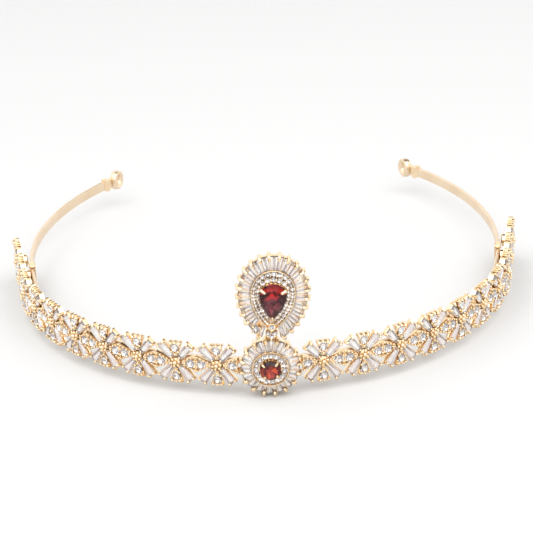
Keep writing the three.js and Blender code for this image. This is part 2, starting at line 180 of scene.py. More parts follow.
# ---- mesh building -------------------------------------------------------------------------
class Solid:
    """Closed shapes of one piece, in millimetres, each face with the number of its material."""

    def __init__(self):
        self.points = []
        self.faces = []
        self.marks = []

    def add(self, points, faces, mark):
        """Faces on points of their own, all with one material."""
        start = len(self.points)
        self.points.extend(tuple(p) for p in points)
        self.faces.extend([start + i for i in face] for face in faces)
        self.marks.extend([mark] * len(faces))

    def skin(self, rings, mark=0, closed=False, backed=0):
        """Quads through rings of equal length, capped at both ends unless it closes on itself.

        The first cap and the first bands, as many as backed, are foil.
        """
        count = len(rings[0])
        levels = len(rings)
        faces = []
        for level in range(levels if closed else levels - 1):
            a = level * count
            b = (level + 1) % levels * count
            for i in range(count):
                j = (i + 1) % count
                faces.append((a + i, a + j, b + j, b + i))
        foil = backed * count
        if not closed:
            faces.insert(0, tuple(range(count)))
            faces.append(tuple((levels - 1) * count + i for i in range(count)))
            foil += 1 if backed else 0
        self.add([p for ring in rings for p in ring], faces, mark)
        first = len(self.marks) - len(faces)
        self.marks[first:first + foil] = [FOIL] * foil

    def turned(self, angle):
        """The same shapes turned about the axis out of the face."""
        turn = Matrix.Rotation(angle, 3, "Y")
        self.points = [tuple(turn @ Vector(p)) for p in self.points]
        return self

    def mesh(self, name, materials, flat=False):
        """Mesh data in metres, smooth between its sharp edges unless it's flat."""
        data = bpy.data.meshes.new(name)
        data.from_pydata([tuple(MM * c for c in p) for p in self.points], [], self.faces)
        data.polygons.foreach_set("material_index", self.marks)
        work = bmesh.new()
        work.from_mesh(data)
        bmesh.ops.recalc_face_normals(work, faces=work.faces)
        for face in work.faces:
            face.smooth = not flat
        work.to_mesh(data)
        work.free()
        for material in materials:
            data.materials.append(material)
        data.set_sharp_from_angle(angle=CREASE)
        return data


def place_on(data, name, body, nodes, at=None):
    """A piece from mesh data, put in place, riding on its body and standing for its CAD nodes."""
    piece = bpy.data.objects.new(name, data)
    bpy.context.scene.collection.objects.link(piece)
    piece.matrix_world = at or Matrix.Identity(4)
    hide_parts(*nodes)
    if body:
        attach(piece, body)
    return piece


def put(solid, name, look, body, node, at=None, flat=False):
    """One piece from a solid, standing for one CAD node."""
    return place_on(solid.mesh(name, look, flat), name, body, [node], at)


def out_of(point, out):
    """A point of the face moved out of it."""
    return point + Vector((0, -out, 0))


def turns_of(count):
    """Angles evenly round a full turn."""
    return [2 * math.pi * k / count for k in range(count)]


def ray_point(ray, radius, side, out):
    """Point in a motif: along a ray from its middle, to the side of it, and out of the face."""
    x = radius * math.sin(ray) + side * math.cos(ray)
    z = radius * math.cos(ray) - side * math.sin(ray)
    return Vector((x, -out, z))


class Curve:
    """A closed outline, read by share of its length from its lowest point, counter-clockwise."""

    def __init__(self, xs, zs):
        steps = np.hypot(np.diff(xs), np.diff(zs))
        self.xs, self.zs = xs, zs
        self.length = steps.sum()
        self.shares = np.concatenate([[0], np.cumsum(steps)]) / self.length

    def point(self, u):
        """The point at a share of the length, which may run past a full round."""
        u = u % 1
        return Vector((np.interp(u, self.shares, self.xs), 0, np.interp(u, self.shares, self.zs)))

    def __call__(self, u, grow=0.0):
        """The point at a share of the length, moved outside the outline by grow."""
        step = 0.004
        along = (self.point(u + step) - self.point(u - step)).normalized()
        return self.point(u) + grow * Vector((along.z, 0, -along.x))


TURNS = np.linspace(0, 2 * math.pi, 1441)


def circle(radius):
    """Round outline about the middle of a face."""
    return Curve(radius * np.sin(TURNS), -radius * np.cos(TURNS))


def drop(wide, tall, middle, point):
    """Pear outline with its tip down; point 0 gives an ellipse."""
    spread = np.sin(TURNS) * np.abs(np.sin(TURNS / 2)) ** point
    return Curve(spread / spread.max() * wide / 2, middle - np.cos(TURNS) * tall / 2)


def between(inner, outer, share):
    """The curve that lies part of the way from one outline to another."""
    def curve(u, grow=0.0):
        out = outer.point(u) - inner.point(u)
        return inner.point(u) + out * share + out.normalized() * grow
    return curve


def moulding(solid, curve, profile, count):
    """A ring along a curve, its section given by points (distance outside the curve, out)."""
    rings = []
    for i in range(count):
        u = i / count
        rings.append([out_of(curve(u, grow), out) for grow, out in profile])
    solid.skin(rings, closed=True)


def round_section(inner, outer, back, front):
    """Section of a rim with a rounded top edge."""
    middle = (inner + outer) / 2
    edge = (outer - inner) / 2
    shoulder = edge * 0.3
    return [
        (inner, back),
        (inner, front - edge),
        (inner + shoulder, front - shoulder),
        (middle, front),
        (outer - shoulder, front - shoulder),
        (outer, front - edge),
        (outer, back),
    ]


def rail(solid, outer, inner, back, front):
    """A flat frame between two outlines with corners that match, with softened top edges."""
    soft = 0.07
    rings = []
    for a, b in zip(outer, inner):
        a, b = Vector(a), Vector(b)
        across = (b - a).normalized() * soft
        rings.append([
            out_of(a, back),
            out_of(a, front - soft),
            out_of(a + across, front),
            out_of(b - across, front),
            out_of(b, front - soft),
            out_of(b, back),
        ])
    solid.skin(rings, closed=True)


def wire(solid, path, radius, tip=1.0):
    """A round wire with rounded ends; tip scales the radius at the far end."""
    points = [Vector(p) for p in path]
    start = (points[0] - points[1]).normalized()
    end = (points[-1] - points[-2]).normalized()
    last = radius * tip
    dome = ((0.6, 0.8), (0.95, 0.3))
    stations = [(points[0] + start * radius * s, radius * r) for s, r in dome[::-1]]
    for i, point in enumerate(points):
        share = i / (len(points) - 1)
        stations.append((point, radius + (last - radius) * share))
    stations += [(points[-1] + end * last * s, last * r) for s, r in dome]
    side = None
    rings = []
    for i, (point, size) in enumerate(stations):
        before = stations[max(i - 1, 0)][0]
        after = stations[min(i + 1, len(stations) - 1)][0]
        ahead = (after - before).normalized()
        side = ahead.orthogonal() if side is None else side - ahead * side.dot(ahead)
        side.normalize()
        up = ahead.cross(side)
        turns = turns_of(WIRE_SIDES)
        rings.append([point + size * (side * math.cos(t) + up * math.sin(t)) for t in turns])
    solid.skin(rings)


def ball(solid, centre, radius, sides=8, levels=6):
    """A bead whose first and last rings are small enough to be its poles."""
    pole = 0.35
    rings = []
    for level in range(levels):
        tilt = math.pi * (level + pole) / (levels - 1 + 2 * pole)
        size = radius * math.sin(tilt)
        out = radius * math.cos(tilt)
        rings.append([
            centre + Vector((size * math.cos(t), -out, size * math.sin(t)))
            for t in turns_of(sides)
        ])
    solid.skin(rings)


# ---- stones --------------------------------------------------------------------------------
def brilliant(solid, outline, centre, girdle, crown, pavilion, back=FOIL):
    """A brilliant cut on any outline: outline(share of a turn) gives the girdle from the centre."""
    def ring(count, shift, scale, out):
        shares = [(i + shift) / count for i in range(count)]
        return [out_of(centre + scale * outline(u), out) for u in shares]

    thick = GIRDLE_THICK * crown
    tops = ring(8, 0, TABLE, girdle + crown)
    kites = ring(8, 0.5, KITE_WIDE, girdle + KITE_TALL * crown)
    upper = ring(16, 0, 1, girdle + thick)
    lower = ring(16, 0, 1, girdle - thick)
    deep = ring(8, 0.5, DEEP_WIDE, girdle - DEEP_DOWN * pavilion)
    culet = [out_of(centre, girdle - pavilion)]
    points = tops + kites + upper + lower + deep + culet
    # Where each row of points starts: tops, kites, upper, lower, deep and the culet.
    T, K, U, L, D, C = 0, 8, 16, 32, 48, 56
    faces = [tuple(range(8))]
    backs = []
    for i in range(8):
        j = (i + 1) % 8
        b = (i - 1) % 8
        faces += [
            (T + i, T + j, K + i),
            (T + i, K + b, U + 2 * i, K + i),
            (K + i, U + 2 * i, U + 2 * i + 1),
            (K + i, U + 2 * i + 1, U + 2 * j),
        ]
        backs += [
            (D + i, L + 2 * i, L + 2 * i + 1),
            (D + i, L + 2 * i + 1, L + 2 * j),
            (C, D + b, L + 2 * i, D + i),
        ]
    for i in range(16):
        j = (i + 1) % 16
        faces.append((U + i, U + j, L + j, L + i))
    solid.add(points, faces + backs, GLASS)
    solid.marks[-len(backs):] = [back] * len(backs)


def small_round(solid, centre, radius, girdle, back=FOIL):
    """A small round stone; centre is a point of the face, girdle its distance out."""
    def outline(u):
        return Vector((radius * math.sin(2 * math.pi * u), 0, radius * math.cos(2 * math.pi * u)))
    brilliant(solid, outline, centre, girdle, CROWN * radius, PAVILION * radius, back)


def step_cut(solid, corners, girdle, crown, rise=0.0):
    """A baguette on four corners in turn round it, step cut, its girdle at a distance out.

    The first two corners stand farther out by the rise.
    """
    corners = [Vector(c) for c in corners]
    half = min((corners[0] - corners[1]).length, (corners[2] - corners[3]).length) / 2

    def ring(inset, out):
        result = []
        for i, corner in enumerate(corners):
            before = (corners[i - 1] - corner).normalized()
            after = (corners[(i + 1) % 4] - corner).normalized()
            lift = rise if i < 2 else 0
            result.append(out_of(corner + (before + after) * inset, out + lift))
        return result

    # From the back: a ridge along the middle, a keel on each side of it, the girdle, the crown.
    steps = [
        (0.9 * half, girdle - 0.45 * half - 0.1),
        (0.62 * half, girdle - 0.9 * half - 0.1),
        (0.3 * half, girdle - 0.5 * half - 0.08),
        (0.0, girdle - 0.05),
        (0.0, girdle + 0.05),
        (0.14 * half, girdle + 0.5 * crown),
        (0.5 * half, girdle + 0.9 * crown),
    ]
    solid.skin([ring(inset, out) for inset, out in steps], GLASS, backed=3)


# ---- materials -----------------------------------------------------------------------------
# Depth of a metal's grain, in metres. Between the two shares of its height, a red stone's foil
# turns from its low colours, painted reflection (the floor's in the pear, an orange flash in the
# round), to those of its top.
GRAIN_DEEP = 0.00003
PAINTED_LOW_FROM, PAINTED_LOW_TO = 0.48, 0.62


def material(name, base, **settings):
    """A principled material; returns it with its nodes, links and shader."""
    made = bpy.data.materials.new(name)
    made.use_nodes = True
    nodes, links = made.node_tree.nodes, made.node_tree.links
    shader = nodes["Principled BSDF"]
    shader.inputs["Base Color"].default_value = (*base, 1)
    for key, value in settings.items():
        shader.inputs[key.replace("_", " ")].default_value = value
    return made, nodes, links, shader


def noise(nodes, links, scale, detail, stretch=(1, 1, 1)):
    """A noise texture in the object's own coordinates."""
    where = nodes.new("ShaderNodeTexCoord")
    mapping = nodes.new("ShaderNodeMapping")
    mapping.inputs["Scale"].default_value = stretch
    texture = nodes.new("ShaderNodeTexNoise")
    texture.inputs["Scale"].default_value = scale
    texture.inputs["Detail"].default_value = detail
    links.new(where.outputs["Object"], mapping.inputs["Vector"])
    links.new(mapping.outputs["Vector"], texture.inputs["Vector"])
    return texture


def ramp(nodes, links, source, stops):
    """The colour that stops of (place, colour) give for a value."""
    found = nodes.new("ShaderNodeValToRGB")
    elements = found.color_ramp.elements
    while len(elements) < len(stops):
        elements.new(0.5)
    for element, (place, colour) in zip(elements, stops):
        element.position = place
        element.color = (*colour, 1)
    links.new(source, found.inputs["Fac"])
    return found.outputs["Color"]


def map_range(nodes, links, source, **ends):
    """A value mapped from one range to another; ends are the node's own inputs."""
    node = nodes.new("ShaderNodeMapRange")
    for key, value in ends.items():
        node.inputs[key.replace("_", " ")].default_value = value
    links.new(source, node.inputs["Value"])
    return node.outputs["Result"]


def mix(nodes, links, a, b, factor=None, blend="MIX"):
    """Two colours mixed, in full or by the output of a node."""
    node = nodes.new("ShaderNodeMix")
    node.data_type = "RGBA"
    node.blend_type = blend
    node.inputs["Factor"].default_value = 1.0
    if factor is not None:
        links.new(factor, node.inputs["Factor"])
    links.new(a, node.inputs["A"])
    links.new(b, node.inputs["B"])
    return node.outputs["Result"]


def gold(name, light, deep, rough, scale, grain_bump, stretch=(1, 1, 1)):
    """Plated gold: mottled between two colours, its roughness and surface broken by a grain."""
    made, nodes, links, shader = material(name, light, Metallic=1.0)
    mottle = noise(nodes, links, scale, detail=4.0)
    links.new(
        ramp(nodes, links, mottle.outputs["Fac"], [(0.35, deep), (0.65, light)]),
        shader.inputs["Base Color"],
    )
    grain = noise(nodes, links, 6 * scale, detail=2.0, stretch=stretch)
    low, high = rough
    links.new(
        map_range(nodes, links, grain.outputs["Fac"], To_Min=low, To_Max=high),
        shader.inputs["Roughness"],
    )
    bump = nodes.new("ShaderNodeBump")
    bump.inputs["Strength"].default_value = grain_bump
    bump.inputs["Distance"].default_value = GRAIN_DEEP
    links.new(grain.outputs["Fac"], bump.inputs["Height"])
    links.new(bump.outputs["Normal"], shader.inputs["Normal"])
    return made


def stone(name, base, cloudy, index):
    """The clear front of a stone, faintly uneven in tint."""
    made, nodes, links, shader = material(name, base, IOR=index, Roughness=0.0)
    shader.inputs["Transmission Weight"].default_value = 1.0
    cloud = noise(nodes, links, 420, detail=1.0)
    links.new(
        ramp(nodes, links, cloud.outputs["Fac"], [(0.4, cloudy), (0.6, base)]),
        shader.inputs["Base Color"],
    )
    return made


def painted_glints(nodes, links, scale):
    """A random value for each of many small flat patches, for painted glints such as light from
    facets makes.
    """
    where = nodes.new("ShaderNodeTexCoord")
    cells = nodes.new("ShaderNodeTexVoronoi")
    cells.inputs["Scale"].default_value = scale
    links.new(where.outputs["Object"], cells.inputs["Vector"])
    split = nodes.new("ShaderNodeSeparateColor")
    links.new(cells.outputs["Color"], split.inputs["Color"])
    return split.outputs["Red"]


def foil(name, light, deep, rough, scale, metal, low=None, soft=False):
    """The bright back that a stone's lower facets make.

    Low is the light and the deep colour low down in the stone, if they differ: painted
    reflection, of the floor in the pear and an orange flash in the round. Soft gives soft
    painted patches of light in place of painted glints.
    """
    made, nodes, links, shader = material(name, light, Metallic=metal, Roughness=rough)
    if soft:
        value, start, end = noise(nodes, links, scale, detail=1.0).outputs["Fac"], 0.42, 0.58
    else:
        value, start, end = painted_glints(nodes, links, scale), 0.2, 0.8
    # From the deep to the light colour: painted shade and painted glints of the facets.
    colour = ramp(nodes, links, value, [(start, deep), (end, light)])
    # Low in the stone the colour turns to a painted reflection: the floor's in the pear, an orange
    # flash in the round.
    if low:
        painted_low_colour = ramp(nodes, links, value, [(start, low[1]), (end, low[0])])
        where = nodes.new("ShaderNodeTexCoord")
        split = nodes.new("ShaderNodeSeparateXYZ")
        links.new(where.outputs["Generated"], split.inputs["Vector"])
        painted_low_fade = map_range(nodes, links, split.outputs["Z"], From_Min=PAINTED_LOW_FROM, From_Max=PAINTED_LOW_TO)
        colour = mix(nodes, links, painted_low_colour, colour, painted_low_fade)
    links.new(colour, shader.inputs["Base Color"])
    return made


band_gold = gold(
    "band_gold", light=(0.86, 0.7, 0.52), deep=(0.8, 0.63, 0.44),
    rough=(0.26, 0.38), scale=120, grain_bump=0.15, stretch=(1, 1, 14),
)
crimp_gold = gold(
    "crimp_gold", light=(0.9, 0.72, 0.5), deep=(0.83, 0.63, 0.4),
    rough=(0.24, 0.34), scale=500, grain_bump=0.2,
)
setting_gold = gold(
    "setting_gold", light=(0.92, 0.73, 0.5), deep=(0.86, 0.64, 0.39),
    rough=(0.12, 0.26), scale=700, grain_bump=0.25,
)

clear_glass = stone("clear_stone", base=(1.0, 1.0, 1.0), cloudy=(0.99, 0.97, 0.97), index=1.48)
# Each foil's light colour gives its painted glints, and its deep colour the painted shade between
# them.
clear_foil = foil(
    "clear_foil", light=(1.0, 0.98, 0.96), deep=(0.92, 0.86, 0.84),
    rough=0.14, scale=500, metal=0.78,
)
pave_foil = foil(
    "pave_foil", light=(1.0, 0.98, 0.96), deep=(0.5, 0.48, 0.48),
    rough=0.1, scale=1500, metal=0.85,
)
clear_stone = [clear_glass, clear_foil]
small_stone = [clear_glass, pave_foil]
star_stone = [clear_glass, clear_foil, pave_foil]

red_glass = stone("red_stone", base=(0.92, 0.5, 0.5), cloudy=(0.85, 0.4, 0.42), index=1.4)
# The pear's top has bright and dark painted patches; its low part is a painted reflection of the
# floor.
pear_foil = foil(
    "pear_red_foil", light=(0.9, 0.03, 0.03), deep=(0.08, 0.003, 0.005),
    rough=0.1, scale=500, metal=0.5,
    low=((0.2, 0.07, 0.09), (0.05, 0.012, 0.02)), soft=True,
)
# The round's top is painted dark; its low part is a painted orange flash.
round_foil = foil(
    "round_red_foil", light=(0.14, 0.01, 0.02), deep=(0.015, 0.002, 0.003),
    rough=0.1, scale=750, metal=0.5,
    low=((0.8, 0.18, 0.06), (0.14, 0.03, 0.03)),
)
pear_red = [red_glass, pear_foil]
round_red = [red_glass, round_foil]


# ---- band and its ends ---------------------------------------------------------------------
def band_place(along):
    """Point of the right half of the band's middle line, in plan, and the way it turns there."""
    on_front = min(along, FRONT_LONG) / BAND_RADIUS
    on_straight = min(max(along - FRONT_LONG, 0), STRAIGHT)
    turn = on_front + max(along - ARM_START, 0) / ARM_RADIUS
    x = BAND_RADIUS * math.sin(on_front) + on_straight * math.cos(on_front)
    x += ARM_RADIUS * (math.sin(turn) - math.sin(on_front))
    y = BAND_RADIUS * (1 - math.cos(on_front)) + on_straight * math.sin(on_front)
    y += ARM_RADIUS * (math.cos(on_front) - math.cos(turn))
    return x, y, turn


def in_place(x, y, turn, side=1):
    """The place of a part made at the origin, from one in plan; side -1 mirrors the place."""
    move = Matrix.Translation(Vector((side * x, FRONT_Y + y, MIDDLE_Z)) * MM)
    return move @ Matrix.Rotation(side * turn, 4, "Z")


def band_section():
    """Rounded rectangle across the band: (outward, up)."""
    points = []
    corners = ((1, 1), (-1, 1), (-1, -1), (1, -1))
    for number, (a, b) in enumerate(corners):
        for k in range(CORNER_STEPS + 1):
            turn = (number + k / CORNER_STEPS) * math.pi / 2
            points.append((
                a * (BAND_THICK / 2 - BAND_CORNER) + BAND_CORNER * math.cos(turn),
                b * (BAND_TALL / 2 - BAND_CORNER) + BAND_CORNER * math.sin(turn),
            ))
    return points


def band_height(along):
    """The band is slimmer behind the motifs and widens to its full height where they end."""
    share = min(max((abs(along) - FRONT_END) / TAPER_LONG + 1, 0), 1)
    return FRONT_TALL + (BAND_TALL - FRONT_TALL) * share * share * (3 - 2 * share)


def band_strip(low, high):
    """The band from one distance along it to another; negative is the left half."""
    solid = Solid()
    steps = round((high - low) / RING_SPACING)
    rings = []
    for i in range(steps + 1):
        along = low + (high - low) * i / steps
        side = -1 if along < 0 else 1
        x, y, turn = band_place(abs(along))
        shrink = END_SHRINK if i in (0, steps) else 1
        tall = band_height(along) / BAND_TALL
        rings.append([
            Vector((
                side * (x + shrink * outward * math.sin(turn)),
                FRONT_Y + y - shrink * outward * math.cos(turn),
                MIDDLE_Z + shrink * tall * up,
            ))
            for outward, up in band_section()
        ])
    solid.skin(rings)
    return solid


def lathe_out(solid, profile, centre, sides, lean=0.0):
    """A ring turned about the axis out of the face, which may lean: profile of (radius, out)."""
    lean = Matrix.Rotation(lean, 3, "Z")
    rings = []
    for turn in turns_of(sides):
        rings.append([
            centre + lean @ Vector((radius * math.cos(turn), -out, radius * math.sin(turn)))
            for radius, out in profile
        ])
    solid.skin(rings, closed=True)


def block(solid, low, high, soft):
    """A box with softened edges, as stacked outlines along x."""
    def outline(inset):
        y0, y1 = low[1] + inset, high[1] - inset
        z0, z1 = low[2] + inset, high[2] - inset
        return [
            (y0 + soft, z0), (y1 - soft, z0), (y1, z0 + soft), (y1, z1 - soft),
            (y1 - soft, z1), (y0 + soft, z1), (y0, z1 - soft), (y0, z0 + soft),
        ]
    levels = [(low[0], soft), (low[0] + soft, 0), (high[0] - soft, 0), (high[0], soft)]
    solid.skin([[(x, y, z) for y, z in outline(inset)] for x, inset in levels])


def eyelet(side):
    """Disc with a countersunk hole, kinked out from the line of the band, and its neck."""
    solid = Solid()
    half = [
        (1.1, 0.15), (1.15, 0.3), (2.0, 1.02), (2.1, 1.1), (2.65, 1.1), (2.92, 0.9), (3.0, 0.5),
    ]
    profile = [(radius, -out) for radius, out in half] + half[::-1]
    lathe_out(solid, profile, Vector((side * EYELET_AT, 0, 0)), 40, -side * EYELET_TURN)
    ends = sorted((side * 0.3, side * 2.0))
    block(solid, (ends[0], -0.55, -1.45), (ends[1], 0.55, 1.45), 0.2)
    return solid


def crimp(side):
    """Flat sleeve with a raised rim at its end, a lug above its start and one below its end."""
    solid = Solid()
    # Start and end along the band, thickness, and the low and high edge.
    for start, end, thick, low, high in (
        (-2.0, 0.7, 1.5, -1.65, 1.65),
        (0.5, 1.0, 1.8, -1.65, 1.65),
        (-2.0, -0.9, 1.4, 1.3, 2.3),
        (-0.6, 0.9, 1.4, -2.3, -1.3),
    ):
        ends = sorted((side * start, side * end))
        block(solid, (ends[0], -thick / 2, low), (ends[1], thick / 2, high), 0.18)
    return solid


def saddle():
    """A clip over the band: a plate behind it, and a lip above and one below."""
    solid = Solid()
    half_long, half_tall, lip_low, soft = 1.8, 2.3, 1.65, 0.12
    block(solid, (-half_long, 0.62, -half_tall), (half_long, 1.05, half_tall), soft)
    block(solid, (-half_long, -0.8, lip_low), (half_long, 0.9, half_tall), soft)
    block(solid, (-half_long, -0.8, -half_tall), (half_long, 0.9, -lip_low), soft)
    return solid


# ---- star motif ----------------------------------------------------------------------------
def wedge(ray, start, end, inner, outer):
    """Corners of a tapered outline on a ray, inner and outer being half its widths."""
    return [
        ray_point(ray, start, -inner, 0),
        ray_point(ray, start, inner, 0),
        ray_point(ray, end, outer, 0),
        ray_point(ray, end, -outer, 0),
    ]


def claw(solid, ray, radius, side, front, reach, size):
    """A wire up the edge of a stone that leans in over it."""
    wire(solid, [
        ray_point(ray, radius, side, CLAW_BACK + 0.5 * size),
        ray_point(ray, radius, side, front - 0.9),
        ray_point(ray, radius - 0.15 * reach, side * 0.97, front - 0.45),
        ray_point(ray, radius - 0.6 * reach, side * 0.9, front - 0.12),
        ray_point(ray, radius - reach, side * 0.82, front),
    ], size, tip=0.9)


def star_setting():
    """The casting: a boss, four trays with claws, two cups, two side cups and a bead cluster.

    Claws and beads are given by the place along the ray, to the side of it and out.
    """
    solid = Solid()
    boss = [(0.01, 0.45), (1.2, 0.45), (1.9, BOSS_BACK), (1.9, 2.3), (0.01, 2.3)]
    post = [(0.01, 2.2), (1.25, 2.2), (1.25, 3.5), (0.7, 3.9), (0.01, 3.9)]
    lathe_out(solid, boss, Vector(), 24)
    lathe_out(solid, post, Vector(), 16)
    for ray in LEANS:
        inside = wedge(ray, *ARM_INSIDE)
        rail(solid, wedge(ray, *ARM_TRAY), inside, TRAY_BACK, ARM_TOP)
        rail(solid, inside, wedge(ray, *ARM_SEAT), TRAY_BACK, SEAT_TOP)
        for side in (-1, 1):
            claw(solid, ray, 6.5, side * 1.12, 4.0, reach=0.3, size=0.4)
        ball(solid, ray_point(ray, 1.75, 0, 3.75), 0.36)
    for ray in (0, 180 * DEG):
        rail(solid, wedge(ray, *CUP_TRAY), wedge(ray, *CUP_INSIDE), TRAY_BACK, CUP_TOP)
        for side in (-1, 1):
            claw(solid, ray, 5.65, side * 1.4, 4.1, reach=0.3, size=0.36)
            ball(solid, ray_point(ray, 3.0, side * 0.9, 3.75), 0.34)
            ball(solid, ray_point(ray, 4.45, side * 1.5, 3.7), 0.28)
        claw(solid, ray, 5.8, 0, 4.0, reach=0.2, size=0.3)
        ball(solid, ray_point(ray, 2.3, 0, 3.8), 0.4)
    for ray in (90 * DEG, 270 * DEG):
        rail(solid, wedge(ray, *SIDE_TRAY), wedge(ray, *SIDE_INSIDE), TRAY_BACK, SIDE_TOP)
        for side in (-1, 1):
            for step in range(EDGE_BEADS):
                along = SIDE_INSIDE[0] + 0.97 * step
                width = 0.3 + (along - SIDE_TRAY[0]) * 0.45
                ball(solid, ray_point(ray, along, side * width, 3.6), 0.37)
        ball(solid, ray_point(ray, 2.55, 0, 3.75), 0.36)
        for side in (-0.8, 0.8):
            ball(solid, ray_point(ray, 5.35, side, 3.65), 0.33)
    ball(solid, Vector((0, -4.2, 0)), 0.6, 12, 8)
    for number in range(CLUSTER_BEADS):
        turn = (number + 0.25) * 360 * DEG / CLUSTER_BEADS
        ball(solid, ray_point(turn, 1.05, 0, 3.95), 0.46, 10, 7)
    return solid


def star_stones():
    """Four tapered baguettes in the trays and a small round in each cup."""
    solid = Solid()
    for ray in LEANS:
        step_cut(solid, wedge(ray, *ARM_STONE), girdle=3.5, crown=0.42)
    for number in range(4):
        ray = number * 90 * DEG
        small_round(solid, ray_point(ray, 4.15, 0, 0), radius=1.22, girdle=3.75, back=PAVE)
    return solid


def motif_place(number):
    """Place in plan of a motif of the right half: its face runs straight on past the arc."""
    along = FIRST_MOTIF + (number - 1) * PITCH
    arc_long = FACE_RADIUS * FRONT_HALF_ANGLE
    turn = min(along, arc_long) / FACE_RADIUS
    past = max(along - arc_long, 0)
    x = BAND_RADIUS * math.sin(turn) + past * math.cos(turn)
    y = BAND_RADIUS * (1 - math.cos(turn)) + past * math.sin(turn)
    return x, y, turn


# ---- medallions ----------------------------------------------------------------------------
def finger(solid, curve, u, front, size, reach, grow, back=MEDAL_BACK):
    """A claw of a medallion: up from the back plate outside the stones, then in over them."""
    wire(solid, [
        out_of(curve(u, grow), back + size),
        out_of(curve(u, grow), front - 1.0),
        out_of(curve(u, grow - 0.06 * reach), front - 0.45),
        out_of(curve(u, grow - 0.4 * reach), front - 0.08),
        out_of(curve(u, grow - reach), front),
    ], size, tip=0.85)


def stop_short(inner, outer, room):
    """The outer end of a line, drawn back to stay a distance from the round medallion's middle."""
    steps = 20
    for step in range(steps):
        point = outer.lerp(inner, step / steps)
        if point.length > room:
            return point
    return inner


def fan(stones, setting, inner, outer, shares, girdle, wall_after, rise, room=0.0,
        keep_clear=None):
    """Tapered baguettes between two curves, with gold walls at every other joint.

    Their inner ends stand farther out by the rise. Stones stay the room away from the round
    medallion's middle, and none is made on the odd stone at keep_clear.
    """
    gap, shortest, clear, half_wall = 0.03, 0.7, 1.35, 0.1
    for i, (a, b) in enumerate(zip(shares, shares[1:])):
        ends = []
        for curve in (inner, outer):
            low, high = curve(a), curve(b)
            across = (high - low).normalized() * gap
            ends.append([low + across, high - across])
        (inner_low, inner_high), (outer_low, outer_high) = ends
        if room:
            outer_low = stop_short(inner_low, outer_low, room)
            outer_high = stop_short(inner_high, outer_high, room)
        centre = (inner_low + inner_high + outer_low + outer_high) / 4
        if keep_clear and (centre - keep_clear).length < clear:
            continue
        if (outer_low - inner_low).length < shortest:
            continue
        step_cut(stones, [inner_low, inner_high, outer_high, outer_low], girdle, 0.4, rise)
        if i % 2 == wall_after:
            along = (outer_low - inner_low).normalized()
            half = along.cross(Vector((0, 1, 0))) * half_wall
            corners = [inner_low - half, inner_low + half, outer_low + half, outer_low - half]
            top = girdle + 0.2
            tops = [top + rise, top + rise, top, top]
            setting.skin([
                [out_of(c, MEDAL_PLATE) for c in corners],
                [out_of(c, out) for c, out in zip(corners, tops)],
            ])


def halo(stones, setting, curve, shares, radius, girdle):
    """A row of small rounds with a bead in each gap on both sides."""
    beside = 0.75 * radius
    for a, b in zip(shares, shares[1:]):
        small_round(stones, curve((a + b) / 2), radius, girdle)
        for grow in (-beside, beside):
            ball(setting, out_of(curve(a, grow), girdle + 0.1), 0.16, 6, 4)


def pave(stones, setting, inner, outer, share, girdle, keep_clear):
    """A row of small rounds between two outlines, from the top down both sides.

    A round is half as wide as the gap less a margin, so that two rows fill it. Near the tip
    the rounds shrink, and they leave room for the stone at keep_clear.
    """
    curve = between(inner, outer, share)
    step, margin, pitch = 0.003, 0.35, 2.06
    end, stone_clear, bead_clear = 0.49, 0.95, 1.2
    for side in (-1, 1):
        u = 0.5
        while abs(u - 0.5) < end:
            gap = (outer.point(u) - inner.point(u)).length - margin
            radius = min(0.25 * gap, 0.3 + 2.2 * min(u, 1 - u))
            centre = curve(u)
            # The topmost round belongs to both sides, so only one makes it.
            twice = side < 0 and u == 0.5
            if (centre - keep_clear).length > stone_clear + radius and not twice:
                small_round(stones, centre, radius, girdle)
            speed = (curve(u + step) - curve(u - step)).length / (2 * step)
            middle = curve(u + side * radius / speed)
            if (middle - keep_clear).length > bead_clear:
                ball(setting, out_of(middle, girdle + 0.08), 0.17, 6, 4)
            u += side * pitch * radius / speed


def even(start, end, count):
    """Numbers evenly from start to end, both among them."""
    return [start + (end - start) * i / count for i in range(count + 1)]


def round_medallion():
    """The round one's setting, baguettes, halo and red stone."""
    setting, baguettes, small, red = Solid(), Solid(), Solid(), Solid()
    rim = circle(ROUND_RIM)
    claws = circle(ROUND_CLAW_LINE)
    girdle = circle(ROUND_RED)
    boss = [(-1.5, BOSS_BACK), (-1.5, 3.4), (-0.3, 3.4), (-0.3, BOSS_BACK)]
    plate = [(-1.5, MEDAL_BACK), (-1.5, MEDAL_PLATE), (2.75, MEDAL_PLATE), (2.75, MEDAL_BACK)]
    seat = [(-1.9, 3.2), (-1.9, 5.1), (-0.1, 5.1), (-0.1, 3.2)]
    collar = [(-0.4, 5.0), (-0.3, 6.2), (-0.12, 6.2), (0.1, 5.0)]
    moulding(setting, rim, boss, 56)
    moulding(setting, rim, plate, 56)
    moulding(setting, rim, round_section(-HALF_RIM, HALF_RIM, MEDAL_PLATE, 6.1), 72)
    moulding(setting, rim, seat, 56)
    joints = [(i + 0.5) / (2 * ROUND_CLAWS) for i in range(2 * ROUND_CLAWS + 1)]
    inner, outer = (circle(radius) for radius in ROUND_FAN)
    fan(baguettes, setting, inner, outer, joints, girdle=4.6, wall_after=1, rise=0.6)
    for i in range(ROUND_CLAWS):
        u = (i + 0.5) / ROUND_CLAWS
        finger(setting, claws, u, front=5.4, size=0.55, reach=0.65, grow=-0.08)
    halo(small, setting, circle(ROUND_HALO), even(0, 1, HALO_STONES), radius=0.77, girdle=5.85)

    brilliant(red, lambda u: girdle(u + 0.5), Vector(), girdle=6.5, crown=1.1, pavilion=2.1)
    moulding(setting, girdle, collar, 48)
    for i in range(4):
        u = (i + 0.5) / 4 + 0.02
        finger(setting, girdle, u, front=7.2, size=0.38, reach=0.7, grow=0.1, back=MEDAL_PLATE)
    return setting, baguettes, small, red


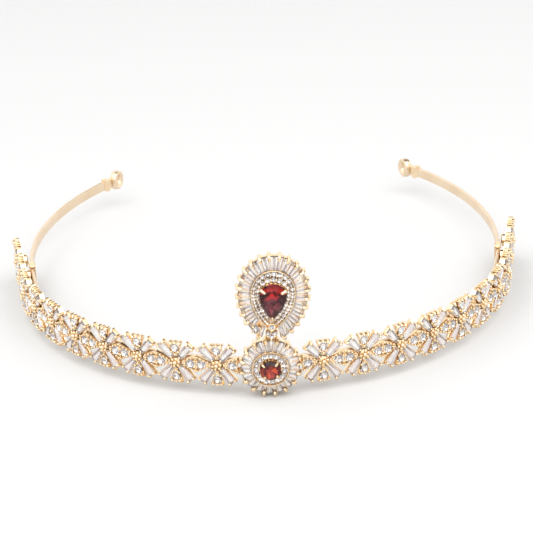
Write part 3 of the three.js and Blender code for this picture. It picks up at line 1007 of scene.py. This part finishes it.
def pear_medallion():
    """The pear one's setting, baguettes, halo and red stone."""
    setting, baguettes, small, red = Solid(), Solid(), Solid(), Solid()
    rim = drop(*PEAR_RIM)
    claws = drop(*PEAR_CLAW_LINE)
    heart = drop(*PEAR_RED)
    first, pitch = FIRST_PEAR_CLAW / claws.length, PEAR_CLAW_PITCH / claws.length
    claw_shares = [first + pitch * i for i in range(PEAR_CLAWS_PER_SIDE)]
    # The plate reaches the line of the claws, or only the rim below the lowest of them.
    plate = []
    for u in even(0, 1, 120)[:-1]:
        inner_edge = heart(u, 0.5)
        outer_edge = claws(u, -0.5)
        if min(u, 1 - u) < 0.5 - claw_shares[-1]:
            outer_edge = rim(u, 0.6)
        outer_edge = stop_short(inner_edge, outer_edge, ROUND_ROOM)
        plate.append([
            out_of(inner_edge, MEDAL_BACK),
            out_of(inner_edge, MEDAL_PLATE),
            out_of(outer_edge, MEDAL_PLATE),
            out_of(outer_edge, MEDAL_BACK),
        ])
    setting.skin(plate, closed=True)
    moulding(setting, rim, round_section(-HALF_RIM, HALF_RIM, MEDAL_PLATE, 5.5), 96)

    # Two baguettes to each claw, on each side of the top.
    joints = [first + pitch * i / 2 for i in range(-1, 2 * PEAR_CLAWS_PER_SIDE)]
    joints[0] = 0.0
    for side in (-1, 1):
        shares = [0.5 + side * joint for joint in joints]
        if side < 0:
            shares.reverse()
        fan(baguettes, setting, between(rim, claws, 0.05), between(claws, rim, 0.1), shares,
            girdle=4.5, wall_after=1 if side > 0 else 0, rise=0.3,
            room=ROUND_ROOM, keep_clear=SIDE_STONE)
        for share in claw_shares:
            u = 0.5 + side * share
            if (claws(u) - SIDE_STONE).length > 1.7:
                finger(setting, claws, u, front=5.35, size=0.52, reach=0.9, grow=-0.08)

    # The seat of the small rounds, from the inner rim to the red stone.
    seat = []
    for u in even(0, 1, 96)[:-1]:
        low, high = rim(u, -0.12), heart(u, 0.1)
        seat.append([out_of(low, 3.2), out_of(low, 4.4), out_of(high, 4.6), out_of(high, 3.2)])
    setting.skin(seat, closed=True)
    for share, girdle in ((0.28, 5.1), (0.72, 5.25)):
        pave(small, setting, rim, heart, share, girdle, TIP_STONE)
    for x, z in TIP_TRIO:
        small_round(small, Vector((x, 0, z)), radius=0.65, girdle=4.9)
        ball(setting, Vector((1.3 * x, -4.95, z - 0.7)), 0.25)
    neck = [(0.01, 2.3), (1.5, 2.3), (1.7, 4.2), (0.01, 4.2)]
    lathe_out(setting, neck, Vector((0, 0, 9.9)), 24)

    middle = Vector((0, 0, PEAR_MIDDLE))
    brilliant(
        red, lambda u: heart(u + 0.5) - middle, middle, girdle=5.9, crown=1.3, pavilion=2.5
    )
    collar = [(-0.3, 4.5), (-0.2, 5.7), (-0.05, 5.7), (0.1, 4.5)]
    moulding(setting, heart, collar, 72)
    for u, size in ((0.0, 0.3), (0.36, 0.48), (0.64, 0.48)):
        finger(setting, heart, u, 6.8, size, reach=1.1, grow=0.15, back=MEDAL_PLATE)
    return setting, baguettes, small, red


def bezel_stone(centre, radius, girdle, setting):
    """A small round in a bezel that joins the setting."""
    solid = Solid()
    small_round(solid, centre, radius, girdle)
    inner, outer, back = radius - 0.02, radius + 0.25, 3.2
    lathe_out(setting, [
        (inner, back), (inner, girdle + 0.1), (radius + 0.1, girdle + 0.2), (outer, girdle),
        (outer, back),
    ], centre, 24)
    return solid


def claw_stone(centre, radius, girdle, setting):
    """A small round held by four short claws that join the setting."""
    solid = Solid()
    small_round(solid, centre, radius, girdle)
    back, seat = 2.3, girdle - 0.1
    lathe_out(setting, [
        (radius - 0.4, back), (radius - 0.02, seat), (radius + 0.15, seat), (radius + 0.1, back),
    ], centre, 24)
    for i in range(4):
        turn = (i + 0.5) * 90 * DEG
        ray = Vector((math.cos(turn), 0, math.sin(turn)))
        wire(setting, [
            out_of(centre + (radius + 0.1) * ray, 2.6),
            out_of(centre + (radius + 0.1) * ray, girdle),
            out_of(centre + (radius - 0.15) * ray, girdle + 0.4),
        ], 0.3)
    return solid


def link():
    """The strap behind both medallions and the bead between their edges."""
    solid = Solid()
    block(solid, (-1.2, -2.15, 4.9), (1.2, -1.1, 12.0), 0.15)
    wire(solid, [(0, -2.0, LINK_AT), (0, -4.3, LINK_AT)], 0.35)
    ball(solid, Vector((0, -4.6, LINK_AT + 0.05)), 0.5, 12, 8)
    return solid


# ---- assembly ------------------------------------------------------------------------------
def build_band():
    """The front of the band, and each side's arm, crimp, eyelet and saddle."""
    put(band_strip(-FRONT_END, FRONT_END), "band_front", [band_gold], "tiara",
        "front_band")
    for word, side in (("left", -1), ("right", 1)):
        body = f"{word}_arm"
        ends = sorted((side * FRONT_END, side * BAND_END))
        # The arm strip rides on no body.
        arm = put(band_strip(*ends), f"{word}_arm_strip", [band_gold], None,
                  f"{word}_band_arm")
        for along in (BEND_FROM, BEND_TO):
            x, y, _ = band_place(along)
        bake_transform(arm)
        end = in_place(*band_place(BAND_END), side)
        put(crimp(side), f"{word}_end_crimp", [crimp_gold], body,
            f"{word}_crimp", end)
        put(eyelet(side), f"{word}_end_eyelet", [band_gold], body,
            f"{word}_eyelet", end)
        put(saddle(), f"{word}_clip", [setting_gold], "tiara",
            f"{word}_saddle", in_place(*band_place(SADDLE_AT), side))


def build_motifs():
    """Twenty motifs from one casting and one set of stones."""
    setting = star_setting().mesh("star_setting", [setting_gold])
    stones = star_stones().mesh("star_stones", star_stone, flat=True)
    for word, side in (("left", -1), ("right", 1)):
        for number in range(1, MOTIFS_PER_SIDE + 1):
            at = in_place(*motif_place(number), side)
            name = f"{word}_star_{number}"
            node = f"{word}_motif_{number}"
            place_on(setting, f"{name}_setting", "tiara", [f"{node}_setting"], at)
            place_on(stones, f"{name}_stones", "tiara", [f"{node}_stones"], at)


def build_medallions():
    """Both medallions with their stones, and the link between them, all leaning together."""
    at = in_place(0, 0, 0)

    def hang(solid, name, node, look, slot):
        """A leaning piece; all but the settings have flat facets."""
        flat = slot != "setting_gold"
        put(solid.turned(MEDAL_LEAN), name, look, "tiara", node, at, flat)

    setting, baguettes, small, red = round_medallion()
    hang(setting, "round_gallery", "round_setting", [setting_gold], "setting_gold")
    hang(baguettes, "round_fan", "round_baguettes", clear_stone, "clear_stone")
    hang(small, "round_pave", "round_halo", small_stone, "clear_stone")
    hang(red, "round_centre_stone", "round_garnet", round_red, "red_stone")

    setting, baguettes, small, red = pear_medallion()
    tip = bezel_stone(TIP_STONE, radius=0.75, girdle=5.5, setting=setting)
    odd = claw_stone(SIDE_STONE, radius=1.15, girdle=4.8, setting=setting)
    hang(tip, "pear_tip_round", "pear_tip_stone", small_stone, "clear_stone")
    hang(odd, "pear_side_round", "pear_side_stone", small_stone, "clear_stone")
    hang(setting, "pear_gallery", "pear_setting", [setting_gold], "setting_gold")
    hang(baguettes, "pear_fan", "pear_baguettes", clear_stone, "clear_stone")
    hang(small, "pear_pave", "pear_halo", small_stone, "clear_stone")
    hang(red, "pear_centre_stone", "pear_garnet", pear_red, "red_stone")
    hang(link(), "link_strap", "medallion_link", [setting_gold], "setting_gold")


# ---- stage ---------------------------------------------------------------------------------
# The camera: angles, and its distance and the point it looks at in millimetres.
ELEVATION = 24.1 * DEG
AZIMUTH = -0.2 * DEG
ROLL = -2.4 * DEG
DISTANCE = 593
TARGET = Vector((0.3, FRONT_Y + 55.5, MIDDLE_Z + 1.9))
LENS = 139.6
SENSOR = 36

# The white tent, its darker front and its dark opening above: their directions and shades.
FRONT_WAY = (0, -0.91, 0.41)
OPENING_WAY = (0.2, 0.5, 0.84)
WHITE = (1.0, 1.0, 1.0)
FRONT_SHADE = (0.56, 0.55, 0.54)
OPENING_SHADE = (0.06, 0.055, 0.05)
TENT_POWER = 1.28

# The floor: half its side in metres, and its colour.
FLOOR_HALF = 4.0
FLOOR_GREY = (0.595, 0.595, 0.595)


def build_camera():
    """Long lens from the front, a little above, with a slight roll."""
    back = Vector((
        math.sin(AZIMUTH) * math.cos(ELEVATION),
        -math.cos(AZIMUTH) * math.cos(ELEVATION),
        math.sin(ELEVATION),
    ))
    camera = bpy.data.objects.new("camera", bpy.data.cameras.new("camera"))
    bpy.context.scene.collection.objects.link(camera)
    camera.data.lens = LENS
    camera.data.sensor_width = SENSOR
    camera.data.clip_start = 0.01
    camera.data.clip_end = 20
    turn = back.to_track_quat("Z", "Y").to_matrix().to_4x4()
    camera.matrix_world = (
        Matrix.Translation((TARGET + back * DISTANCE) * MM) @ turn @ Matrix.Rotation(ROLL, 4, "Z")
    )
    bpy.context.scene.camera = camera


def area_light(name, place, aim, size, power):
    """A white rectangle of light, in metres and watts."""
    data = bpy.data.lights.new(name, "AREA")
    data.shape = "RECTANGLE"
    data.size, data.size_y = size
    data.energy = power
    light = bpy.data.objects.new(name, data)
    bpy.context.scene.collection.objects.link(light)
    light.location = place
    light.rotation_euler = (Vector(aim) - Vector(place)).to_track_quat("-Z", "Y").to_euler()


def build_world():
    """A white tent, darker on the side that faces the front of the tiara, and open above."""
    world = bpy.data.worlds.new("studio")
    bpy.context.scene.world = world
    world.use_nodes = True
    nodes, links = world.node_tree.nodes, world.node_tree.links
    where = nodes.new("ShaderNodeTexCoord")

    def shade(direction, stops):
        """Colours by how nearly a ray runs in a direction."""
        towards = nodes.new("ShaderNodeVectorMath")
        towards.operation = "DOT_PRODUCT"
        towards.inputs[1].default_value = direction
        links.new(where.outputs["Generated"], towards.inputs[0])
        return ramp(nodes, links, towards.outputs["Value"], stops)

    front = shade(FRONT_WAY, [(0.45, WHITE), (0.9, FRONT_SHADE)])
    opening = shade(OPENING_WAY, [(0.9, WHITE), (0.94, OPENING_SHADE)])
    background = nodes["Background"]
    tent = mix(nodes, links, front, opening, blend="MULTIPLY")
    links.new(tent, background.inputs["Color"])
    background.inputs["Strength"].default_value = TENT_POWER


def build_stage():
    """The tent, two softboxes and a pale floor."""
    scene = bpy.context.scene
    scene.view_settings.view_transform = "Standard"
    build_world()
    area_light("top_softbox", place=(0.0, -0.4, 0.85), aim=(0, -0.05, 0),
               size=(1.4, 1.2), power=10.8)
    area_light("front_softbox", place=(0.0, -1.2, 0.6), aim=(0, -0.05, 0.02),
               size=(1.4, 0.6), power=2.4)

    floor_mesh = bpy.data.meshes.new("floor")
    half = FLOOR_HALF
    corners = [(-half, -half, 0), (half, -half, 0), (half, half, 0), (-half, half, 0)]
    floor_mesh.from_pydata(corners, [], [(0, 1, 2, 3)])
    floor = bpy.data.objects.new("floor", floor_mesh)
    scene.collection.objects.link(floor)
    floor_mesh.materials.append(material("floor_white", FLOOR_GREY, Roughness=0.8)[0])


build_band()
build_motifs()
build_medallions()
build_camera()
build_stage()
